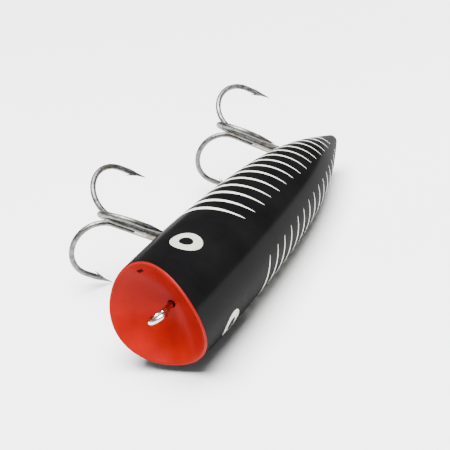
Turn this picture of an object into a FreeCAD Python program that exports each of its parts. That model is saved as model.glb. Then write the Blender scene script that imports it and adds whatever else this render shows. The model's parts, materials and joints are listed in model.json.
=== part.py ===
import FreeCAD, Part
import Sketcher
import math
import os

# A topwater popper: a hollow two-shell body with a cupped mouth, a line tie, and two treble hooks that
# hang on split rings under screw-eye hangers.
#
# Lure frame, used by every function below: origin at the centre of the mouth rim, +X out of the mouth,
# +Y to port, +Z to the back of the lure. Stations are distances behind the rim.
# Row frame: the lure lies on a flat surface at Z = 0, on its port side, with +X towards the mouth.

DIMENSIONS = {
    # Body of revolution
    "tip_station": 108.0,
    "rim_radius": 12.67,
    "wall": 1.8,
    "cavity_end": 92.0,
    # Mouth
    "face_tilt": 9.2,
    "dish_depth": 6.8,
    "dish_mouth_radius": 11.9,
    "lip_forward": 1.36,
    "side_sweep": 3.56,
    "cap_thickness": 4.8,
    "plug_radius": 10.75,
    # Line tie
    "tie_wire_radius": 0.65,
    "tie_loop_radius": 2.1,
    "tie_reach": 2.0,
    "tie_screw_end": 22.0,
    "boss_radius": 3.2,
    "screw_clearance": 0.03,
    # Hook hangers
    "hanger_wire_radius": 0.55,
    "front_hanger_station": 48.3,
    "front_wire_depth": 15.81,
    "front_loop_radius": 2.2,
    "front_loop_turn": 0.0,
    "front_screw_length": 7.0,
    "rear_hanger_station": 95.83,
    "rear_wire_depth": 9.23,
    "rear_loop_radius": 2.1,
    "rear_loop_turn": 90.0,
    "rear_screw_length": 4.6,
    "hanger_cup_radius": 4.4,
    "hanger_cup_sheet": 0.45,
    "rear_washer_radius": 2.1,
    # Split rings
    "ring_radius": 2.5,
    "ring_coil_radius": 0.3,
    "ring_coil_offset": 0.22,
    "link_clearance": 0.15,
    # Treble hooks
    "hook_wire_radius": 0.7,
    "hook_eye_radius": 1.85,
    "shank_offset": 0.86,
    "shank_length": 20.5,
    "bend_radius": 7.64,
    "bend_depth": 6.85,
    "point_arm": 7.4,
    "point_taper": 4.6,
    "barb_length": 2.9,
    "braze_radius": 1.19,
    "braze_start": 4.2,
    "braze_end": 15.0,
    # Ballast
    "ballast_radius": 3.6,
    "ballast_length": 9.0,
    "ballast_station": 78.0,
    # Rest pose of the lure and of its hooks, in degrees
    "rest_pitch": 2.9944,
    "rest_roll": -62.9872,
    "front_ring_swing": -28.5,
    "front_hook_side": -70.27,
    "front_hook_lean": 35.08,
    "front_hook_roll": 46.85,
    "rear_ring_swing": 118.0,
    "rear_hook_side": -62.63,
    "rear_hook_lean": 25.05,
    "rear_hook_roll": 157.2,
}

# Outer and inner radius of the shells at stations behind the rim. The first of each lies ahead of the rim,
# so that the tilted face cuts through both.
OUTER_STATIONS = [
    (-4.5, 12.58), (25.0, 12.95), (50.0, 12.23), (70.0, 10.59), (88.0, 7.4), (99.0, 4.24), (106.8, 1.75),
]
INNER_STATIONS = [(-3.0, 10.82), (25.0, 11.15), (50.0, 10.43), (70.0, 8.79), (84.0, 6.5), (90.5, 4.6)]

V = FreeCAD.Vector
X_AXIS = V(1, 0, 0)
Y_AXIS = V(0, 1, 0)
Z_AXIS = V(0, 0, 1)

doc = FreeCAD.newDocument("topwater_popper")
sheet = doc.addObject("Spreadsheet::Sheet", "dims")
for row, (alias, value) in enumerate(DIMENSIONS.items(), start=1):
    sheet.set("A%d" % row, alias)
    sheet.set("B%d" % row, str(value))
    sheet.setAlias("B%d" % row, alias)
doc.recompute()

sub_parts = []


def cell(alias):
    return float(sheet.get(alias))


def bind(item, **expressions):
    """Tie properties of an object to cells of the sheet."""
    for name, expression in expressions.items():
        item.setExpression(name, expression)


def finish_part(item, label, placement):
    item.Label = label
    item.Placement = placement
    sub_parts.append(item)


def origin_plane(body, role):
    return next(feature for feature in body.Origin.OriginFeatures if feature.Role == role)


def new_sketch(body, name, role, lift=0.0):
    sketch = body.newObject("Sketcher::SketchObject", name)
    sketch.AttachmentSupport = [(origin_plane(body, role), "")]
    sketch.MapMode = "FlatFace"
    sketch.AttachmentOffset = FreeCAD.Placement(V(0, 0, lift), FreeCAD.Rotation())
    return sketch


def add_polyline(sketch, points, closed=True):
    ends = points[1:] + points[:1] if closed else points[1:]
    for start, end in zip(points, ends):
        sketch.addGeometry(Part.LineSegment(V(*start, 0), V(*end, 0)), False)


def add_circle(sketch, centre, radius):
    sketch.addGeometry(Part.Circle(V(*centre, 0), Z_AXIS, radius), False)


def station_points(stations):
    return [V(-station, radius, 0) for station, radius in stations]


def smooth_curve(stations):
    curve = Part.BSplineCurve()
    curve.interpolate(station_points(stations))
    return curve


def outer_radius(station):
    curve = smooth_curve(OUTER_STATIONS)
    line = Part.LineSegment(V(-station, 0, 0), V(-station, 20, 0))
    return curve.intersect(line)[0].Y


# Mouth geometry: the face plane passes through the origin and leans forward at the back of the lure.
tilt = math.radians(cell("face_tilt"))
face_normal = V(math.cos(tilt), 0, -math.sin(tilt))
face_up = V(math.sin(tilt), 0, math.cos(tilt))


def face_point(forward, up):
    """Sketch coordinates, in the XZ plane, of a point given in the tilted face's own directions."""
    point = face_normal * forward + face_up * up
    return (point.x, point.z)


def cut_face_side(body, front):
    """Remove what lies in front of, or behind, the seat plane between the cap and the shells."""
    seat = -cell("cap_thickness")
    half_height = 25.0
    far = seat + (20.0 if front else -20.0)
    sketch = new_sketch(body, "seat_plane", "XZ_Plane")
    corners = [(seat, half_height), (seat, -half_height), (far, -half_height), (far, half_height)]
    add_polyline(sketch, [face_point(*corner) for corner in corners])
    cut = body.newObject("PartDesign::Pocket", "seat_cut")
    cut.Profile = sketch
    cut.Midplane = True
    cut.Length = 4 * half_height
    doc.recompute()


def cut_circle(body, name, role, centre, radius_expression, length, lift=0.0, reverse=False):
    """Bore a round hole square to an origin plane."""
    sketch = new_sketch(body, name + "_outline", role, lift)
    add_circle(sketch, centre, 1.0)
    constraint = sketch.addConstraint(Sketcher.Constraint("Radius", 0, 1.0))
    sketch.setExpression("Constraints[%d]" % constraint, radius_expression)
    hole = body.newObject("PartDesign::Pocket", name)
    hole.Profile = sketch
    hole.Length = length
    hole.Reversed = reverse
    doc.recompute()


def revolve(body, name, draw, role="XZ_Plane", axis="H_Axis", angle=360.0, reverse=False,
            kind="Revolution"):
    """Revolve an outline about one of its sketch's axes, as added or as removed material."""
    sketch = new_sketch(body, name + "_outline", role)
    draw(sketch)
    feature = body.newObject("PartDesign::" + kind, name)
    feature.Profile = sketch
    feature.ReferenceAxis = (sketch, [axis])
    feature.Angle = angle
    feature.Reversed = reverse
    doc.recompute()
    return feature


def half_shell(label, side):
    """One moulded half of the body: side is +1 for port and -1 for starboard."""
    port = side > 0
    body = doc.addObject("PartDesign::Body", label)
    tie_hole = cell("tie_wire_radius") + cell("screw_clearance")
    screw_hole = cell("hanger_wire_radius") + cell("screw_clearance")
    front_x = -cell("front_hanger_station")
    rear_x = -cell("rear_hanger_station")

    def wall(sketch):
        outer = station_points(OUTER_STATIONS)
        inner = station_points(INNER_STATIONS)
        tip = V(-cell("tip_station"), 0, 0)
        shoulder = V(tip.x + 0.35, 1.2, 0)
        tip_flat = V(tip.x, 0.5, 0)
        bulkhead = -cell("cavity_end")
        sketch.addGeometry(smooth_curve(OUTER_STATIONS), False)
        sketch.addGeometry(Part.Arc(outer[-1], shoulder, tip_flat), False)
        end_wall = [(tip.x, tip_flat.y), (tip.x, 0), (bulkhead, 0), (inner[-1].x, inner[-1].y)]
        add_polyline(sketch, end_wall, closed=False)
        sketch.addGeometry(smooth_curve(INNER_STATIONS), False)
        add_polyline(sketch, [(inner[0].x, inner[0].y), (outer[0].x, outer[0].y)], closed=False)

    def tie_boss(sketch):
        boss = cell("boss_radius")
        start, web_front, web_back, web_radius = -9.2, -20.5, -23.0, 11.7
        outline = [(start, tie_hole), (start, boss), (web_front, boss), (web_front, web_radius)]
        outline += [(web_back, web_radius), (web_back, tie_hole)]
        add_polyline(sketch, outline)

    def ballast_cradle(sketch):
        clearance = 0.04
        half = cell("ballast_length") / 2 + clearance
        front, back = half - cell("ballast_station"), -half - cell("ballast_station")
        bore, sleeve, stop = cell("ballast_radius") + clearance, 5.0, 1.4
        front_web, back_web = 9.2, 7.2
        outline = [(front + stop, 0), (front + stop, front_web), (front, front_web), (front, sleeve)]
        outline += [(back, sleeve), (back, back_web), (back - stop, back_web), (back - stop, 0)]
        outline += [(back, 0), (back, bore), (front, bore)]
        add_polyline(sketch, outline + [(front, 0)])

    def hanger_boss(name, radius, top, bottom):
        sketch = new_sketch(body, name + "_outline", "XY_Plane", top)
        for size in (radius, screw_hole):
            arc = Part.Arc(V(front_x - size, 0, 0), V(front_x, side * size, 0), V(front_x + size, 0, 0))
            sketch.addGeometry(arc, False)
        add_polyline(sketch, [(front_x - radius, 0), (front_x - screw_hole, 0)], closed=False)
        add_polyline(sketch, [(front_x + screw_hole, 0), (front_x + radius, 0)], closed=False)
        pad = body.newObject("PartDesign::Pad", name)
        pad.Profile = sketch
        pad.Length = top - bottom
        pad.Reversed = True
        doc.recompute()

    revolve(body, "wall", wall, angle=180.0, reverse=port)
    revolve(body, "tie_boss", tie_boss, angle=180.0, reverse=port)
    revolve(body, "ballast_cradle", ballast_cradle, angle=180.0, reverse=port)
    seat_radius, boss_top, boss_foot, seat_foot = 5.9, -3.0, -7.6, -10.6
    hanger_boss("hanger_seat", seat_radius, boss_foot, seat_foot)
    hanger_boss("hanger_boss", cell("boss_radius"), boss_top, boss_foot)
    cut_face_side(body, front=True)
    cup_hole = "dims.hanger_cup_radius + 0.05"
    cut_circle(body, "front_recess", "XY_Plane", (front_x, 0), cup_hole, 8.0, FRONT_SEAT)
    washer_hole = "dims.rear_washer_radius + 0.05"
    cut_circle(body, "rear_flat", "XY_Plane", (rear_x, 0), washer_hole, 4.0, REAR_SEAT)
    screw_size = "dims.hanger_wire_radius + dims.screw_clearance"
    cut_circle(body, "rear_screw_hole", "XY_Plane", (rear_x, 0), screw_size, 8.0, 1.2)

    pin_x, pin_height, pin_radius, pin_length, fit_gap = -21.75, 7.6, 0.7, 1.2, 0.05
    for level, height in (("upper", pin_height), ("lower", -pin_height)):
        sketch = new_sketch(body, level + "_pin_outline", "XZ_Plane")
        add_circle(sketch, (pin_x, height), pin_radius if port else pin_radius + fit_gap)
        kind = "Pad" if port else "Pocket"
        pin = body.newObject("PartDesign::" + kind, level + "_pin")
        pin.Profile = sketch
        pin.Length = pin_length if port else pin_length + fit_gap
        pin.Reversed = not port
        doc.recompute()
    finish_part(body, label, FreeCAD.Placement())


def mouth_cup():
    """The cupped face: a cap that carries the rim, and a plug that seats in the shells' mouth.

    The rim stands forward at the back and the belly of the lure, and is swept back at both sides.
    """
    body = doc.addObject("PartDesign::Body", "mouth_cup")
    depth, mouth = cell("dish_depth"), cell("dish_mouth_radius")
    crest = cell("lip_forward")
    crest_radius, lip_radius = mouth + 0.42, mouth + 1.1
    dish_edge, lip_edge = crest - 0.3, crest - 0.5
    rise = depth + dish_edge
    dish_radius = (mouth ** 2 + rise ** 2) / (2 * rise)
    clear, far = 17.0, 9.0

    def cap(sketch):
        back = 8.0
        curve = smooth_curve(OUTER_STATIONS)
        edge = V(-back, outer_radius(back), 0)
        curve.segment(curve.FirstParameter, curve.parameter(edge))
        front = station_points(OUTER_STATIONS)[0]
        sketch.addGeometry(curve, False)
        ends = [(edge.x, edge.y), (edge.x, 0), (front.x, 0), (front.x, front.y)]
        add_polyline(sketch, ends, closed=False)

    def plug(sketch):
        radius, front, back, chamfer = cell("plug_radius"), -2.4, -8.8, 0.5
        outline = [(back, 0), (front, 0), (front, radius), (back + chamfer, radius)]
        add_polyline(sketch, outline + [(back, radius - chamfer)])

    def mouth_cutter(sketch):
        half = mouth / 2
        middle = -depth + dish_radius - math.sqrt(dish_radius ** 2 - half ** 2)
        dish = [(-depth, 0), (middle, half), (dish_edge, mouth)]
        lip = [(dish_edge, mouth), (crest, crest_radius), (lip_edge, lip_radius)]
        for arc in (dish, lip):
            sketch.addGeometry(Part.Arc(*[V(*face_point(*point), 0) for point in arc]), False)
        front = [lip[-1], (lip_edge, clear), (far, clear), (far, 0), (-depth, 0)]
        add_polyline(sketch, [face_point(*point) for point in front], closed=False)
        axis = Part.LineSegment(V(*face_point(-20, 0), 0), V(*face_point(20, 0), 0))
        sketch.addGeometry(axis, True)

    def sweep_sides():
        edge = mouth + 1.3
        sketch = new_sketch(body, "side_sweep_outline", "XZ_Plane")
        bow = [(crest, edge), (crest - cell("side_sweep"), 0), (crest, -edge)]
        sketch.addGeometry(Part.Arc(*[V(*face_point(*point), 0) for point in bow]), False)
        front = [bow[-1], (far, -edge), (far, edge), bow[0]]
        add_polyline(sketch, [face_point(*point) for point in front], closed=False)
        cut = body.newObject("PartDesign::Pocket", "side_sweep")
        cut.Profile = sketch
        cut.Midplane = True
        cut.Length = 4 * clear
        doc.recompute()

    revolve(body, "cap", cap)
    cut_face_side(body, front=False)
    revolve(body, "plug", plug)
    revolve(body, "mouth", mouth_cutter, axis="Axis0", kind="Groove")
    sweep_sides()
    tie_size = "dims.tie_wire_radius + dims.screw_clearance"
    cut_circle(body, "tie_hole", "YZ_Plane", (0, 0), tie_size, 12.0)
    finish_part(body, "mouth_cup", FreeCAD.Placement())


def screw_eye(label, wire, loop, screw_length, placement, land=None):
    """A wire eye on a screw shank: loop in the XZ plane round the origin, shank along +Z.

    wire and loop are sheet expressions; land is the radius of a flat worn inside the loop.
    """
    gap_angle = 25.0
    eye = doc.addObject("Part::Torus", label + "_loop")
    bind(eye, Radius1=loop, Radius2=wire)
    eye.Angle3 = 360.0 - gap_angle
    eye.Placement.Rotation = FreeCAD.Rotation(X_AXIS, 90).multiply(FreeCAD.Rotation(Z_AXIS, 90))
    knuckle = doc.addObject("Part::Sphere", label + "_knuckle")
    bind(knuckle, Radius=wire)
    knuckle.setExpression("Placement.Base.z", loop)
    shank = doc.addObject("Part::Cylinder", label + "_shank")
    bind(shank, Radius=wire)
    shank.Height = screw_length
    shank.setExpression("Placement.Base.z", loop)
    tip = doc.addObject("Part::Cone", label + "_tip")
    tip_length = 1.2
    bind(tip, Radius1=wire)
    tip.Radius2 = 0.1
    tip.Height = tip_length
    tip.setExpression("Placement.Base.z", "%s + %g" % (loop, screw_length))
    solid = doc.addObject("Part::MultiFuse", label + "_wire")
    solid.Shapes = [eye, knuckle, shank, tip]
    if land:
        drill = doc.addObject("Part::Cylinder", label + "_drill")
        bind(drill, Radius=land)
        drill.Height = 6.0
        drill.Placement = FreeCAD.Placement(V(0, 3, 0), FreeCAD.Rotation(X_AXIS, 90))
        eased = doc.addObject("Part::Cut", label + "_eased")
        eased.Base = solid
        eased.Tool = drill
        solid = eased
    doc.recompute()
    finish_part(solid, label, placement)


def hanger_washer(label, outline, placement):
    """A pressed washer, revolved about Z from an outline of (radius, height) points."""
    body = doc.addObject("PartDesign::Body", label)
    revolve(body, "pressing", lambda sketch: add_polyline(sketch, outline), axis="V_Axis")
    finish_part(body, label, placement)


def split_ring(label, placement):
    """Two touching turns of spring wire about Z."""
    coils = []
    for index, sign in enumerate(("", "-")):
        coil = doc.addObject("Part::Torus", "%s_coil_%d" % (label, index + 1))
        bind(coil, Radius1="dims.ring_radius", Radius2="dims.ring_coil_radius")
        coil.setExpression("Placement.Base.z", sign + "dims.ring_coil_offset")
        coils.append(coil)
    ring = doc.addObject("Part::MultiFuse", label)
    ring.Shapes = coils
    doc.recompute()
    finish_part(ring, label, placement)


def hook_wire(label, start, angle):
    """One hook of a treble: shank along +X beside the treble's axis, bend, point arm, point and barb.

    angle turns the hook's plane about X, from the XY plane.
    """
    wire, offset = cell("hook_wire_radius"), cell("shank_offset")
    length, bend, depth = cell("shank_length"), cell("bend_radius"), cell("bend_depth")
    arm_height = offset + 2 * bend
    arm_end = length - cell("point_arm") + cell("point_taper")
    turn = FreeCAD.Placement(V(0, 0, 0), FreeCAD.Rotation(X_AXIS, angle))

    path = doc.addObject("Sketcher::SketchObject", label + "_path")
    add_polyline(path, [(start, offset), (length, offset)], closed=False)
    centre = V(length, offset + bend, 0)
    ellipse = Part.Ellipse(centre + V(0, bend, 0), centre + V(depth, 0, 0), centre)
    path.addGeometry(Part.ArcOfEllipse(ellipse, 0, math.pi), False)
    add_polyline(path, [(length, arm_height), (arm_end, arm_height)], closed=False)
    path.Placement = turn

    section = doc.addObject("Part::Circle", label + "_section")
    bind(section, Radius="dims.hook_wire_radius")
    section.Placement = turn.multiply(FreeCAD.Placement(V(start, offset, 0), FreeCAD.Rotation(Y_AXIS, 90)))

    sweep = doc.addObject("Part::Sweep", label + "_sweep")
    sweep.Sections = [section]
    sweep.Spine = (path, ["Edge1", "Edge2", "Edge3"])
    sweep.Solid = True
    sweep.Frenet = False

    point = doc.addObject("Part::Cone", label + "_point")
    bind(point, Radius1="dims.hook_wire_radius", Height="dims.point_taper")
    point.Radius2 = 0.06
    tapering = FreeCAD.Placement(V(arm_end, arm_height, 0), FreeCAD.Rotation(Y_AXIS, -90))
    point.Placement = turn.multiply(tapering)

    barb = doc.addObject("Part::Cone", label + "_barb")
    barb_root, barb_lift = 3.0, 25.0
    barb.Radius1 = 0.38
    barb.Radius2 = 0.04
    bind(barb, Height="dims.barb_length")
    root = V(length - cell("point_arm") + barb_root, arm_height - 0.25, 0)
    lifted = FreeCAD.Rotation(Z_AXIS, -barb_lift).multiply(FreeCAD.Rotation(Y_AXIS, 90))
    barb.Placement = turn.multiply(FreeCAD.Placement(root, lifted))
    return [sweep, point, barb]


def treble(prefix, placement):
    """Three pieces: a wire bent into the eye and two hooks, a third hook, and the braze between them."""
    eye_x = eye_offset()
    eye = doc.addObject("Part::Torus", prefix + "_eye")
    bind(eye, Radius1="dims.hook_eye_radius", Radius2="dims.hook_wire_radius")
    eye.Placement.Base = V(eye_x, 0, 0)
    double_start = eye_x + cell("hook_eye_radius") - 0.3
    single_start = eye_x + cell("hook_eye_radius") + 1.0
    double = doc.addObject("Part::MultiFuse", prefix + "_double")
    double.Shapes = [eye] + hook_wire(prefix + "_hook_a", double_start, 120.0)
    double.Shapes += hook_wire(prefix + "_hook_b", double_start, -120.0)
    single = doc.addObject("Part::MultiFuse", prefix + "_single")
    single.Shapes = hook_wire(prefix + "_hook_c", single_start, 0.0)

    core = doc.addObject("Part::Cylinder", prefix + "_braze_core")
    bind(core, Radius="dims.braze_radius", Height="dims.braze_end - dims.braze_start")
    core.Placement = FreeCAD.Placement(V(cell("braze_start"), 0, 0), FreeCAD.Rotation(Y_AXIS, 90))
    channels = []
    for index in range(3):
        channel = doc.addObject("Part::Cylinder", "%s_channel_%d" % (prefix, index + 1))
        bind(channel, Radius="dims.hook_wire_radius")
        channel.Height = cell("shank_length")
        turn = FreeCAD.Placement(V(0, 0, 0), FreeCAD.Rotation(X_AXIS, 120.0 * index))
        lying = FreeCAD.Placement(V(0, cell("shank_offset"), 0), FreeCAD.Rotation(Y_AXIS, 90))
        channel.Placement = turn.multiply(lying)
        channels.append(channel)
    grooves = doc.addObject("Part::MultiFuse", prefix + "_grooves")
    grooves.Shapes = channels
    braze = doc.addObject("Part::Cut", prefix + "_braze")
    braze.Base = core
    braze.Tool = grooves
    doc.recompute()
    for piece in (double, single, braze):
        finish_part(piece, piece.Name, placement)


def eye_offset():
    """Distance from the ring's section to the centre of the hook's eye, along the shank."""
    section = cell("ring_coil_radius") + cell("ring_coil_offset")
    return cell("hook_eye_radius") - cell("hook_wire_radius") - section - cell("link_clearance")


def frame_placement(base, x_dir, z_dir):
    """Placement at base with the given local X and Z directions."""
    return FreeCAD.Placement(base, FreeCAD.Rotation(x_dir, z_dir.cross(x_dir), z_dir, "XZY"))


def square_to(vector, direction):
    """The part of vector that is square to a unit direction, as a unit vector."""
    return (vector - direction * vector.dot(direction)).normalize()


def rigging(end):
    """Hinge points, hinge axes and rest placements of one hanger's ring and treble, in the lure frame."""
    side = math.radians(cell(end + "_hook_side"))
    lean = math.radians(cell(end + "_hook_lean"))
    roll = math.radians(cell(end + "_hook_roll"))
    shank = V(math.sin(lean), math.cos(lean) * math.sin(side), -math.cos(lean) * math.cos(side))
    across = square_to(X_AXIS, shank)
    single = across * math.cos(roll) + shank.cross(across) * math.sin(roll)
    wire_axis = FreeCAD.Rotation(Z_AXIS, cell(end + "_loop_turn")).multVec(X_AXIS)
    link = FreeCAD.Rotation(wire_axis, cell(end + "_ring_swing")).multVec(V(0, 0, -1))
    wire_point = V(-cell(end + "_hanger_station"), 0, -cell(end + "_wire_depth"))
    touching = cell("hanger_wire_radius") + cell("ring_coil_radius") + cell("link_clearance")
    hook_point = wire_point + link * (2 * cell("ring_radius") - touching)
    along_wire = square_to(wire_axis, link)
    along_shank = square_to(shank, link)
    if along_wire.dot(along_shank) < 0:
        along_shank = along_shank * -1
    ring_normal = (along_wire + along_shank).normalize()
    ring_centre = hook_point - link * cell("ring_radius")
    return {
        "wire_point": wire_point,
        "wire_axis": wire_axis,
        "hook_point": hook_point,
        "hook_axis": ring_normal.cross(link),
        "ring": frame_placement(ring_centre, link, ring_normal),
        "treble": frame_placement(hook_point, shank, shank.cross(single)),
    }


# Heights of the seats that the two hanger washers press on.
FRONT_SEAT = -10.3
REAR_SEAT = -3.95

half_shell("body_shell_port", 1)
half_shell("body_shell_starboard", -1)
mouth_cup()

tie_centre = V(cell("tie_reach") - cell("tie_loop_radius") - cell("tie_wire_radius"), 0, 0)
tie_screw = cell("tie_screw_end") + tie_centre.x - cell("tie_loop_radius") - 1.2
tie_placement = FreeCAD.Placement(tie_centre, FreeCAD.Rotation(Y_AXIS, -90))
tie_land = "dims.tie_loop_radius - dims.tie_wire_radius + 0.05"
screw_eye("line_tie", "dims.tie_wire_radius", "dims.tie_loop_radius", tie_screw, tie_placement, tie_land)

ballast = doc.addObject("PartDesign::Body", "ballast_weight")
slug_radius, slug_half, slug_chamfer = cell("ballast_radius"), cell("ballast_length") / 2, 0.5
slug_outline = [(-slug_half, 0), (-slug_half, slug_radius - slug_chamfer)]
slug_outline += [(slug_chamfer - slug_half, slug_radius)]
slug_outline += [(-x, radius) for x, radius in reversed(slug_outline)]
revolve(ballast, "slug", lambda sketch: add_polyline(sketch, slug_outline))
slug_centre = V(-cell("ballast_station"), 0, 0)
finish_part(ballast, "ballast_weight", FreeCAD.Placement(slug_centre, FreeCAD.Rotation()))

screw_bore = cell("hanger_wire_radius") + cell("screw_clearance")
cup_radius, cup_sheet, cup_depth = cell("hanger_cup_radius"), cell("hanger_cup_sheet"), 1.2
cup_outline = [(screw_bore, 0), (cup_radius - 0.5, 0), (cup_radius, -0.5), (cup_radius, -cup_depth)]
cup_outline += [(cup_radius - cup_sheet, -cup_depth), (cup_radius - cup_sheet, -0.7)]
cup_outline += [(cup_radius - 0.7, -cup_sheet), (screw_bore, -cup_sheet)]
washer_radius = cell("rear_washer_radius")
washer_outline = [(screw_bore, 0), (washer_radius, 0), (washer_radius, -0.25), (washer_radius - 0.2, -0.4)]
washer_outline += [(screw_bore, -0.4)]
seats = {
    "front": ("front_hanger_cup", cup_outline, FRONT_SEAT),
    "rear": ("rear_hanger_washer", washer_outline, REAR_SEAT),
}

for end, (washer, outline, seat) in seats.items():
    station = cell(end + "_hanger_station")
    hanger_washer(washer, outline, FreeCAD.Placement(V(-station, 0, seat), FreeCAD.Rotation()))
    loop_centre = V(-station, 0, cell(end + "_loop_radius") - cell(end + "_wire_depth"))
    hanging = FreeCAD.Placement(loop_centre, FreeCAD.Rotation(Z_AXIS, cell(end + "_loop_turn")))
    loop = "dims.%s_loop_radius" % end
    screw = cell(end + "_screw_length")
    screw_eye(end + "_hook_hanger", "dims.hanger_wire_radius", loop, screw, hanging)
    rig = rigging(end)
    split_ring(end + "_split_ring", rig["ring"])
    treble(end + "_treble", rig["treble"])

# The lure lies on its port side with its mouth slightly raised; the origin is under the middle of its box.
roll_over = FreeCAD.Rotation(X_AXIS, cell("rest_roll"))
lie_down = FreeCAD.Rotation(Y_AXIS, -cell("rest_pitch")).multiply(roll_over)
for item in sub_parts:
    item.Placement = FreeCAD.Placement(V(0, 0, 0), lie_down).multiply(item.Placement)
doc.recompute()
box = Part.makeCompound([item.Shape for item in sub_parts]).optimalBoundingBox(False, False)
rest = FreeCAD.Placement(V(-box.Center.x, -box.Center.y, -box.ZMin), lie_down)
for item in sub_parts:
    item.Placement = FreeCAD.Placement(rest.Base, FreeCAD.Rotation()).multiply(item.Placement)
doc.recompute()

for item in doc.Objects:
    if "Invalid" in item.State or "Error" in item.State:
        raise RuntimeError("%s did not compute: %s" % (item.Name, item.State))
for item in sub_parts:
    if item.Shape.isNull() or not item.Shape.isValid() or item.Shape.Volume < 0.1:
        raise RuntimeError("%s has no valid solid" % item.Label)

os.makedirs("parts", exist_ok=True)
for item in sub_parts:
    item.Shape.exportStep("parts/%s.step" % item.Label)
    print("%-24s %2d solid %9.2f mm3" % (item.Label, len(item.Shape.Solids), item.Shape.Volume))
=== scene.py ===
import json
import math

import bpy
import numpy as np
from mathutils import Matrix, Vector


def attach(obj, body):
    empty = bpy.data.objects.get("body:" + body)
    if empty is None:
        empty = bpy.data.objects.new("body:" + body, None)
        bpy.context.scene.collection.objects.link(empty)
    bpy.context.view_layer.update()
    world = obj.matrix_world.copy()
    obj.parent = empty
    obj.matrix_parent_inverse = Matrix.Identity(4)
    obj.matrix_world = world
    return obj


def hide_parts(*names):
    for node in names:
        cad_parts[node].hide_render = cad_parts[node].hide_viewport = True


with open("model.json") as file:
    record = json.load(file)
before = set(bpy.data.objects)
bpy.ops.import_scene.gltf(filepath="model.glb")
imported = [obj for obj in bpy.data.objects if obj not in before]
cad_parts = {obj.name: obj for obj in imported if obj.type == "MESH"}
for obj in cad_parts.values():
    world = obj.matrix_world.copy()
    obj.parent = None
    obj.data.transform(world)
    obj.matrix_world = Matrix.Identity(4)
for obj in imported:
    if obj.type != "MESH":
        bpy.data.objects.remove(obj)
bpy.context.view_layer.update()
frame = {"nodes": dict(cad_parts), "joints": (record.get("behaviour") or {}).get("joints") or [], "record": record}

# A topwater popper lying on its port side: black lacquered body with painted ribs and eyes, red cupped
# mouth, wire line tie and two treble hooks on split rings. Lengths named *_MM are millimetres; all others
# are metres.

MM = 0.001
rng = np.random.default_rng(7)

# --- Lure frame: origin at the rim centre, X out of the mouth, Y to port, Z to the back ------------
joints = {joint["name"]: joint for joint in frame["joints"]}
tie_mount = next(mount for mount in frame["record"]["mounts"] if mount["name"] == "line_tie_eye")
TIE_AHEAD_MM = -0.75  # the tie's eye is centred just behind the rim
lure_x = Vector(joints["front_ring_swing"]["axis"]).normalized()
lure_y = Vector(tie_mount["axis"]).normalized()
lure_z = lure_x.cross(lure_y).normalized()
rim_centre = Vector(tie_mount["pos_m"]) - lure_x * TIE_AHEAD_MM * MM
LURE = Matrix.Translation(rim_centre) @ Matrix((lure_x, lure_y, lure_z)).transposed().to_4x4()
TO_LURE = LURE.inverted()


def mesh_object(name, vertices, faces, material, body="lure_body"):
    """A mesh given in the lure frame, in metres, that rides a body."""
    mesh = bpy.data.meshes.new(name)
    mesh.from_pydata([LURE @ Vector(v) for v in vertices], [], faces)
    mesh.update()
    mesh.shade_smooth()
    mesh.materials.append(material)
    obj = bpy.data.objects.new(name, mesh)
    bpy.context.scene.collection.objects.link(obj)
    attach(obj, body)
    return obj


# --- Materials -------------------------------------------------------------------------------------
class Shader:
    """A small wrapper that adds nodes to one material."""

    def __init__(self, name):
        self.material = bpy.data.materials.new(name)
        self.material.use_nodes = True
        self.tree = self.material.node_tree
        self.bsdf = self.tree.nodes["Principled BSDF"]
        coordinates = self.tree.nodes.new("ShaderNodeTexCoord")
        self.position = coordinates.outputs["Object"]

    def set(self, **values):
        for name, value in values.items():
            self.bsdf.inputs[name.replace("_", " ")].default_value = value

    def link(self, source, target):
        self.tree.links.new(source, self.bsdf.inputs[target])

    def noise(self, scale, detail=4.0, roughness=0.55):
        node = self.tree.nodes.new("ShaderNodeTexNoise")
        node.inputs["Scale"].default_value = scale
        node.inputs["Detail"].default_value = detail
        node.inputs["Roughness"].default_value = roughness
        self.tree.links.new(self.position, node.inputs["Vector"])
        return node.outputs["Fac"]

    def specks(self, scale, size):
        node = self.tree.nodes.new("ShaderNodeTexVoronoi")
        node.inputs["Scale"].default_value = scale
        self.tree.links.new(self.position, node.inputs["Vector"])
        return self.ramp(node.outputs["Distance"], (0.0, (1, 1, 1, 1)), (size, (0, 0, 0, 1)))

    def ramp(self, factor, *stops):
        node = self.tree.nodes.new("ShaderNodeValToRGB")
        ramp = node.color_ramp
        while len(ramp.elements) < len(stops):
            ramp.elements.new(0.5)
        for element, (place, colour) in zip(ramp.elements, stops):
            element.position = place
            element.color = colour if len(colour) == 4 else (*colour, 1.0)
        self.tree.links.new(factor, node.inputs["Fac"])
        return node.outputs["Color"]

    def mix(self, factor, first, second):
        node = self.tree.nodes.new("ShaderNodeMix")
        node.data_type = "RGBA"
        for value, socket in ((factor, 0), (first, 6), (second, 7)):
            if isinstance(value, bpy.types.NodeSocket):
                self.tree.links.new(value, node.inputs[socket])
            else:
                node.inputs[socket].default_value = value
        return node.outputs[2]

    def bump(self, height, strength, distance, under=None):
        node = self.tree.nodes.new("ShaderNodeBump")
        node.inputs["Strength"].default_value = strength
        node.inputs["Distance"].default_value = distance
        self.tree.links.new(height, node.inputs["Height"])
        if under:
            self.tree.links.new(under, node.inputs["Normal"])
        return node.outputs["Normal"]


def grey(value):
    return (value, value, value, 1.0)


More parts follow.
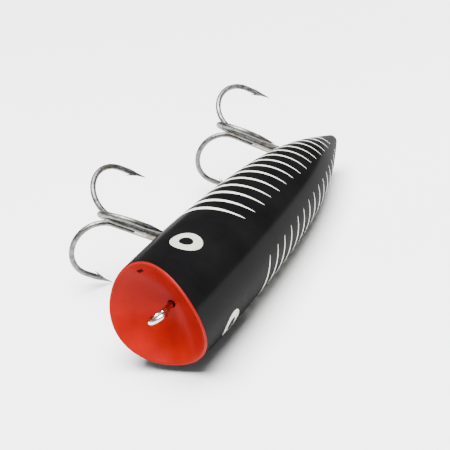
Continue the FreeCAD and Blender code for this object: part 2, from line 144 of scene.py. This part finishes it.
def black_lacquer():
    """Deep black under a clear coat, with orange peel, faint handling haze and a few dust specks."""
    s = Shader("black_lacquer")
    s.set(Coat_Weight=0.085, Coat_Roughness=0.16, Specular_IOR_Level=0.0)
    cloud = s.noise(90.0, 5.0)
    base = s.ramp(cloud, (0.3, (0.0022, 0.0022, 0.0024)), (0.7, (0.0042, 0.0042, 0.0044)))
    dust = s.specks(210.0, 0.045)
    fine = s.ramp(s.noise(700.0, 2.0), (0.62, (0, 0, 0)), (0.7, (1, 1, 1)))
    s.link(s.mix(s.mix(fine, grey(0.0), dust), base, (0.2, 0.2, 0.19, 1.0)), "Base Color")
    s.link(s.ramp(s.noise(60.0, 6.0), (0.3, grey(0.12)), (0.75, grey(0.27))), "Roughness")
    peel = s.bump(s.noise(420.0, 2.0), 0.05, 0.0004)
    s.link(s.bump(dust, 0.12, 0.0001, peel), "Normal")
    return s.material


def white_paint(name="white_paint", tint=(0.62, 0.62, 0.56)):
    """Hand-stencilled off-white, a little thinner in places, under the same clear coat."""
    s = Shader(name)
    s.set(Coat_Weight=0.5, Coat_Roughness=0.06, Specular_IOR_Level=0.4)
    thin = tuple(c * 0.82 for c in tint)
    s.link(s.ramp(s.noise(380.0, 4.0), (0.32, thin), (0.62, tint)), "Base Color")
    s.link(s.ramp(s.noise(240.0, 3.0), (0.3, grey(0.2)), (0.8, grey(0.38))), "Roughness")
    s.link(s.bump(s.noise(800.0, 2.0), 0.05, 0.0002), "Normal")
    return s.material


def red_lacquer():
    """Warm red with slight brushing round the cup."""
    s = Shader("red_lacquer")
    s.set(Coat_Weight=0.05, Coat_Roughness=0.2, Specular_IOR_Level=0.04)
    base = s.ramp(s.noise(120.0, 5.0), (0.3, (0.17, 0.0019, 0.0006)), (0.72, (0.235, 0.0036, 0.0011)))
    chips = s.specks(95.0, 0.03)
    s.link(s.mix(chips, base, (0.2, 0.012, 0.006, 1.0)), "Base Color")
    s.link(s.ramp(s.noise(75.0, 5.0), (0.3, grey(0.34)), (0.75, grey(0.5))), "Roughness")
    s.link(s.bump(s.noise(300.0, 3.0), 0.09, 0.0005), "Normal")
    return s.material


def metal(name, colour, dark, rough, grain, stain=None, pitted=0.0):
    """Plated or drawn wire: tone and roughness vary, with fine grain and, on old plate, tarnish."""
    s = Shader(name)
    s.set(Metallic=1.0, Specular_IOR_Level=0.5)
    tone = s.ramp(s.noise(grain * 0.35, 6.0, 0.7), (0.36, dark), (0.62, colour))
    if stain:
        spread = s.ramp(s.noise(170.0, 5.0, 0.6), (0.56, (0, 0, 0)), (0.7, (1, 1, 1)))
        tone = s.mix(spread, tone, (*stain, 1.0))
    s.link(tone, "Base Color")
    smooth, coarse = grey(rough * 0.65), grey(rough * 1.35)
    s.link(s.ramp(s.noise(grain * 0.6, 4.0), (0.3, smooth), (0.75, coarse)), "Roughness")
    fine = s.bump(s.noise(grain, 3.0, 0.7), 0.25 + pitted, 0.00012)
    s.link(fine, "Normal")
    return s.material


BLACK = black_lacquer()
WHITE = white_paint()
EYE_WHITE = white_paint("eye_white", (0.42, 0.43, 0.355))
PUPIL = black_lacquer()
PUPIL.name = "pupil_black"
RED = red_lacquer()
WIRE = metal("stainless_wire", (0.66, 0.65, 0.62), (0.42, 0.41, 0.4), 0.2, 1500.0)
PLATE = metal("nickel_plate", (0.7, 0.68, 0.64), (0.5, 0.48, 0.45), 0.16, 1200.0)
HOOK = metal("hook_steel", (0.19, 0.19, 0.185), (0.07, 0.07, 0.068), 0.42, 1700.0, (0.15, 0.115, 0.08), 0.4)
BRAZE = metal("hook_braze", (0.46, 0.43, 0.37), (0.16, 0.13, 0.1), 0.45, 1500.0, (0.16, 0.085, 0.045), 0.4)
BALLAST = metal("ballast_steel", (0.3, 0.3, 0.3), (0.16, 0.16, 0.16), 0.4, 900.0)

# --- CAD nodes that are shown as they are ----------------------------------------------------------
NODE_MATERIAL = {
    "line_tie": WIRE,
    "ballast_weight": BALLAST,
    "front_hanger_cup": PLATE,
    "rear_hanger_washer": PLATE,
}
for end in ("front", "rear"):
    NODE_MATERIAL[end + "_hook_hanger"] = WIRE
    NODE_MATERIAL[end + "_split_ring"] = WIRE
    NODE_MATERIAL[end + "_treble_double"] = HOOK
    NODE_MATERIAL[end + "_treble_single"] = HOOK
    NODE_MATERIAL[end + "_treble_braze"] = BRAZE

for name, material in NODE_MATERIAL.items():
    mesh = frame["nodes"][name].data
    mesh.materials.clear()
    mesh.materials.append(material)

# --- Body skin -------------------------------------------------------------------------------------
def outer_profile():
    """(station, radius) of the outside of cup and shell, in metres, read from the CAD nodes."""
    nodes = [frame["nodes"][name] for name in ("mouth_cup", "body_shell_starboard")]
    points = np.array([TO_LURE @ v.co for node in nodes for v in node.data.vertices])
    station, radius = -points[:, 0], np.hypot(points[:, 1], points[:, 2])
    edges = np.arange(-0.003, 0.1085, 0.0015)
    rows = []
    for low, high in zip(edges[:-1], edges[1:]):
        inside = np.flatnonzero((station >= low) & (station < high))
        if len(inside):
            best = inside[np.argmax(radius[inside])]
            rows.append((station[best], radius[best]))
    return np.array(rows)


PROFILE = outer_profile()
FACE_TILT = math.radians(9.2)
SEAT = 4.8 * MM
SEGMENTS = 160
SKIN_RINGS = 120
INSIDE_RINGS = 24
WALL = 1.5 * MM
CAVITY_END = 90.0 * MM


def radius_at(station):
    """Radius of the body's outside at a station, interpolated linearly between the CAD's own rows."""
    return np.interp(station, PROFILE[:, 0], PROFILE[:, 1])


def seat_station(angle):
    """Station at which the tilted seat plane of the cup crosses the skin, at an angle from the back."""
    station = SEAT
    for _ in range(3):
        up = radius_at(station) * math.cos(angle)
        station = (SEAT - up * math.sin(FACE_TILT)) / math.cos(FACE_TILT)
    return station


def lathe(rings):
    """Vertices and faces of rings of (station, radius) pairs; the first and last close on the axis."""
    angles = [2 * math.pi * i / SEGMENTS for i in range(SEGMENTS)]
    vertices = [(-rings[0][0][0], 0, 0)]
    for ring in rings:
        vertices += [(-s, r * math.sin(a), r * math.cos(a)) for a, (s, r) in zip(angles, ring)]
    vertices.append((-rings[-1][0][0], 0, 0))
    faces = [(0, 1 + (i + 1) % SEGMENTS, 1 + i) for i in range(SEGMENTS)]
    for k in range(len(rings) - 1):
        low, high = 1 + k * SEGMENTS, 1 + (k + 1) * SEGMENTS
        for i in range(SEGMENTS):
            j = (i + 1) % SEGMENTS
            faces.append((low + i, low + j, high + j, high + i))
    last, top = len(vertices) - 1, 1 + (len(rings) - 1) * SEGMENTS
    faces += [(top + i, top + (i + 1) % SEGMENTS, last) for i in range(SEGMENTS)]
    return vertices, faces


def skin_rings():
    """Rings up the inside of the wall, over the seat and back along the outside to the tail."""
    angles = [2 * math.pi * i / SEGMENTS for i in range(SEGMENTS)]
    seats = [seat_station(angle) for angle in angles]
    rings = []
    for t in np.linspace(1.0, 0.0, INSIDE_RINGS):
        stations = [seat + (CAVITY_END - seat) * t for seat in seats]
        rings.append([(station, max(radius_at(station) - WALL, MM)) for station in stations])
    tail = PROFILE[-1, 0]
    for t in np.linspace(0.0, 1.0, SKIN_RINGS):
        closer_at_tail = t * (1.35 - 0.35 * t)
        stations = [seat + (tail - seat) * closer_at_tail for seat in seats]
        rings.append([(station, radius_at(station)) for station in stations])
    return rings


skin = mesh_object("body_skin", *lathe(skin_rings()), BLACK)
skin.data.set_sharp_from_angle(angle=math.radians(35))
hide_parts("body_shell_port", "body_shell_starboard")


# --- Cup: red dish with a thin rounded lip, inside a black band ------------------------------------
DISH_DEPTH_MM = 6.8
DISH_RADIUS_MM = 12.0
DISH_RINGS = 30
TIE_HOLE_MM = 0.95
TIE_HOLE_END_MM = 8.2
# Radius, and distance behind the rim, of the rings that round the lip.
LIP_MM = [(12.15, -0.12), (12.35, -0.17), (12.52, -0.1), (12.63, 0.06)]
BAND_START_MM = 0.35
BAND_RINGS = 6
PLUG_RADIUS_MM = 10.7
PLUG_END_MM = 8.8
CHIP_REACH = (0.81, 0.87)
CHIP_ANGLE = -90.0
CHIP_HALF_ANGLE = 3.4


def rim_station(angle):
    """Station of the rim in millimetres: forward at the back and the belly, swept back at the sides."""
    tilt = 2.03 * math.cos(angle) + 0.52 * math.sin(angle)
    side_sweep = 1.78 * math.cos(2 * angle)
    return 0.42 - tilt - side_sweep


def cup_rings():
    """Rings from the floor of the wire's hole, over the dish, the lip and the band, to the plug's back."""
    angles = [2 * math.pi * i / SEGMENTS for i in range(SEGMENTS)]
    rims = [rim_station(angle) for angle in angles]
    hole = TIE_HOLE_MM / DISH_RADIUS_MM
    rings = [[(TIE_HOLE_END_MM * MM, TIE_HOLE_MM * MM)] * SEGMENTS]
    for t in np.linspace(hole, 1.0, DISH_RINGS):
        dish = [DISH_DEPTH_MM * (1 - t * t) + rim * t * t for rim in rims]
        rings.append([(station * MM, DISH_RADIUS_MM * t * MM) for station in dish])
    for radius, shift in LIP_MM:
        rings.append([((rim + shift) * MM, radius * MM) for rim in rims])
    seats = [seat_station(angle) for angle in angles]
    for t in np.linspace(0.0, 1.0, BAND_RINGS):
        fronts = [(rim + BAND_START_MM) * MM for rim in rims]
        stations = [front + (seat - front) * t for front, seat in zip(fronts, seats)]
        rings.append([(station, radius_at(station)) for station in stations])
    rings.append([(seat, PLUG_RADIUS_MM * MM) for seat in seats])
    rings.append([(PLUG_END_MM * MM, PLUG_RADIUS_MM * MM)] * SEGMENTS)
    return rings


cup = mesh_object("cup_face", *lathe(cup_rings()), RED)
cup.data.materials.append(BLACK)
LAST_RED_RING = DISH_RINGS + len(LIP_MM) - 1
for polygon in cup.data.polygons:
    middle = TO_LURE @ polygon.center
    reach = math.hypot(middle.y, middle.z) / (DISH_RADIUS_MM * MM)
    turn = math.degrees(math.atan2(middle.y, middle.z)) - CHIP_ANGLE
    chipped = CHIP_REACH[0] < reach < CHIP_REACH[1] and abs(turn) < CHIP_HALF_ANGLE
    ring = polygon.index // SEGMENTS - 1
    # Rings below 1 are the floor and wall of the wire's hole: black there is painted shade in the hole, not a
    # colour of the cup. Rings past the lip are the real black band.
    polygon.material_index = int(ring < 1 or ring > LAST_RED_RING or chipped)
cup.data.set_sharp_from_angle(angle=math.radians(40))
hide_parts("mouth_cup")


# --- Painted ribs and eyes: films of paint that follow the skin ------------------------------------
def on_skin(station, angle, lift):
    """Point above the skin at a station and an angle from the back, all in metres and radians."""
    radius = radius_at(station) + lift
    return (-station, radius * math.sin(angle), radius * math.cos(angle))


RIB_COUNT = 15
RIB_FIRST_MM = {-1: 29.25, 1: 30.4}
RIB_PITCH_MM = 5.03
RIB_PITCH_LOSS_MM = 0.02
RIB_END = 116.0
RIB_STEPS = 44
RIB_LIFT_MM = 0.035


def rib_shape(index, side):
    """Centre line and half width, in millimetres, against the angle from the back, in degrees."""
    tip = 23.0 - 1.0 * min(index, 12) + rng.uniform(-1.6, 1.6)
    bow = max(1.85 - 0.14 * index, 0.25)
    place = RIB_FIRST_MM[side] + RIB_PITCH_MM * index - RIB_PITCH_LOSS_MM * index ** 2
    place += rng.uniform(-0.15, 0.15)
    weight = (0.84 - 0.024 * index) * rng.uniform(0.93, 1.07)

    def at(angle):
        rise = max(0.0, 1 - (angle - tip) / (66.0 - tip))
        centre = place + bow * rise ** 2
        growth = min(1.0, (angle - tip) / (78.0 - tip))
        width = weight * (0.12 + 0.88 * growth ** 0.8)
        width *= math.sqrt(min(1.0, (angle - tip) / 2.5 + 0.05))
        width *= math.sqrt(max(0.02, min(1.0, (RIB_END - angle) / 4.0)))
        return centre, width

    return tip, at


def rib(index, side, vertices, faces):
    tip, at = rib_shape(index, side)
    base = len(vertices)
    across = (-1.0, -0.55, 0.0, 0.55, 1.0)
    lifts = (-0.3, 0.8, 1.0, 0.8, -0.3)
    for step in range(RIB_STEPS + 1):
        angle = tip + (RIB_END - tip) * (step / RIB_STEPS)
        centre, width = at(angle)
        for offset, lift in zip(across, lifts):
            station = (centre + offset * width) * MM
            vertices.append(on_skin(station, side * math.radians(angle), lift * RIB_LIFT_MM * MM))
    columns = len(across)
    for step in range(RIB_STEPS):
        for column in range(columns - 1):
            a = base + step * columns + column
            quad = (a, a + 1, a + 1 + columns, a + columns)
            faces.append(quad if side < 0 else quad[::-1])


for side, word in ((-1, "starboard"), (1, "port")):
    vertices, faces = [], []
    for index in range(RIB_COUNT):
        rib(index, side, vertices, faces)
    ribs = mesh_object("painted_ribs_" + word, vertices, faces, WHITE)

EYE_STATION_MM = {-1: 12.5, 1: 11.7}
EYE_ANGLE = {-1: 50.3, 1: 56.0}
EYE_RADIUS_MM = {-1: 3.75, 1: 3.5}
PUPIL_RADIUS_MM = 1.72


def disc_on_skin(name, station, angle, radius, lift, material, crown=0.0, stretch=1.0):
    """A round film of paint, crowned in the middle, that follows the skin."""
    rings, spokes = 8, 72
    vertices, faces = [], []
    around = radius_at(station * MM)
    for ring in range(rings + 1):
        reach = radius * ring / rings
        for spoke in range(spokes):
            turn = 2 * math.pi * spoke / spokes
            s = (station + reach * math.cos(turn)) * MM
            a = angle + stretch * reach * math.sin(turn) * MM / around
            edge = lift if ring < rings else -0.01
            vertices.append(on_skin(s, a, (edge + crown * (1 - (ring / rings) ** 2)) * MM))
    for ring in range(rings):
        for spoke in range(spokes):
            a, b = ring * spokes + spoke, ring * spokes + (spoke + 1) % spokes
            faces.append((a, b, b + spokes, a + spokes))
    return mesh_object(name, vertices, faces, material)


for side, word in ((-1, "starboard"), (1, "port")):
    station, place = EYE_STATION_MM[side], side * math.radians(EYE_ANGLE[side])
    white = disc_on_skin("eye_white_" + word, station, place, EYE_RADIUS_MM[side], 0.045, EYE_WHITE)
    pupil = disc_on_skin("eye_pupil_" + word, station - 0.1, place, PUPIL_RADIUS_MM, 0.07, PUPIL, 0.06)

# --- Floor, light and camera -----------------------------------------------------------------------
FLOOR_SIZE = 6.0


def floor_material():
    s = Shader("pale_floor")
    s.set(Specular_IOR_Level=0.2)
    s.link(s.ramp(s.noise(6.0, 3.0), (0.3, (0.79, 0.79, 0.79)), (0.7, (0.82, 0.82, 0.82))), "Base Color")
    s.link(s.ramp(s.noise(9.0, 3.0), (0.3, grey(0.6)), (0.7, grey(0.75))), "Roughness")
    return s.material


half = FLOOR_SIZE / 2
floor_mesh = bpy.data.meshes.new("floor")
corners = [(-half, -half, 0), (half, -half, 0), (half, half, 0), (-half, half, 0)]
floor_mesh.from_pydata(corners, [], [(0, 1, 2, 3)])
floor_mesh.materials.append(floor_material())
floor = bpy.data.objects.new("floor", floor_mesh)
floor.location.z = -0.0002
bpy.context.scene.collection.objects.link(floor)

world = bpy.data.worlds.new("tent")
world.use_nodes = True
world.node_tree.nodes["Background"].inputs["Color"].default_value = (1.0, 1.0, 1.0, 1.0)
world.node_tree.nodes["Background"].inputs["Strength"].default_value = 0.32
bpy.context.scene.world = world


def softbox(name, place, aim, size, power):
    light = bpy.data.lights.new(name, "AREA")
    light.shape = "RECTANGLE"
    light.size, light.size_y = size
    light.energy = power
    obj = bpy.data.objects.new(name, light)
    obj.location = place
    obj.rotation_euler = (Vector(aim) - Vector(place)).to_track_quat("-Z", "Y").to_euler()
    bpy.context.scene.collection.objects.link(obj)


softbox("top_softbox", (0.3, 0.1, 1.6), (0, 0, 0), (1.4, 1.4), 200.0)

CAMERA_FROM_RIM = Vector((0.19164, 0.12506, 0.12901))
CAMERA_RIGHT = Vector((-0.40927, 0.89969, -0.15201))
CAMERA_UP = Vector((-0.45644, -0.0576, 0.88794))
LENS_MM = 98.4

camera_data = bpy.data.cameras.new("camera")
camera_data.lens = LENS_MM
camera_data.sensor_width = 36.0
camera_data.clip_start = 0.01
camera = bpy.data.objects.new("camera", camera_data)
camera_back = CAMERA_RIGHT.cross(CAMERA_UP)
turn = Matrix((CAMERA_RIGHT, CAMERA_UP, camera_back)).transposed().to_4x4()
camera.matrix_world = Matrix.Translation(rim_centre + CAMERA_FROM_RIM) @ turn
bpy.context.scene.collection.objects.link(camera)
bpy.context.scene.camera = camera
